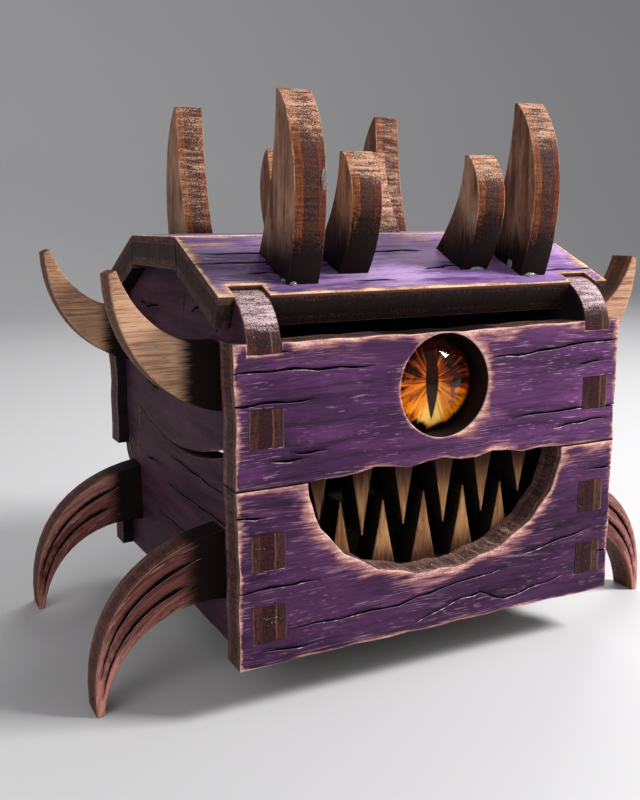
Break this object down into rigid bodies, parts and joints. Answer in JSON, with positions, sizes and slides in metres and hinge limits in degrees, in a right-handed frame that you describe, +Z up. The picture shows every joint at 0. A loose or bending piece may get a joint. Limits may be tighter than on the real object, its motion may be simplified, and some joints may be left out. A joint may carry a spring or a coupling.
{
  "type": "dice box",
  "caption": "Small wooden monster chest: a toothy plywood dice box with a glass eye, horns, legs and a hinged lid.",
  "frame": {"origin": "on the ground, under the middle of the box", "axes": "+Z up, the front with the mouth and the eye faces -Y, +X to the right of one who looks at the front"},
  "size_m": [0.0818, 0.052, 0.0707],
  "materials": {
    "purple_ply": "satin purple stain, worn to bare wood at the edges",
    "dark_purple_ply": "satin dark purple stain",
    "bare_ply": "matte",
    "tooth_ply": "matte, brown streaks",
    "leg_ply": "satin brown stain, grooved",
    "horn_ply": "satin brown stain, charred at the root",
    "pin_rod": "matte",
    "eye_glass": "clear, polished",
    "eye_paper": "glossy printed disc, orange with a black slit"
  },
  "bodies": {
    "base": {"base_front": "purple_ply", "base_back": "purple_ply", "base_side_left": "dark_purple_ply", "base_side_right": "dark_purple_ply", "base_floor": "bare_ply", "lower_teeth": "tooth_ply", "hinge_lug_left": "bare_ply", "hinge_lug_right": "bare_ply", "hinge_pin_left": "pin_rod", "hinge_pin_right": "pin_rod", "leg_front_left": "leg_ply", "leg_front_right": "leg_ply", "leg_back_left": "leg_ply", "leg_back_right": "leg_ply"},
    "lid": {"lid_front": "purple_ply", "lid_back": "purple_ply", "lid_side_left": "dark_purple_ply", "lid_side_right": "dark_purple_ply", "upper_teeth": "tooth_ply", "eye_glass": "eye_glass", "eye_iris": "eye_paper", "roof_front": "purple_ply", "roof_top": "purple_ply", "roof_back": "purple_ply", "side_horn_front_left": "horn_ply", "side_horn_front_right": "horn_ply", "side_horn_back_left": "horn_ply", "side_horn_back_right": "horn_ply", "tall_horn_front_left": "horn_ply", "tall_horn_front_right": "horn_ply", "tall_horn_back_left": "horn_ply", "tall_horn_back_right": "horn_ply", "small_horn_front_left": "horn_ply", "small_horn_front_right": "horn_ply", "small_horn_back_left": "horn_ply", "small_horn_back_right": "horn_ply"}
  },
  "joints": [
    {"name": "lid_hinge", "type": "hinge", "parent": "base", "child": "lid", "pos_m": [0, 0.0206, 0.0218], "axis": [-1, 0, 0], "range_deg": [0, 90]}
  ]
}
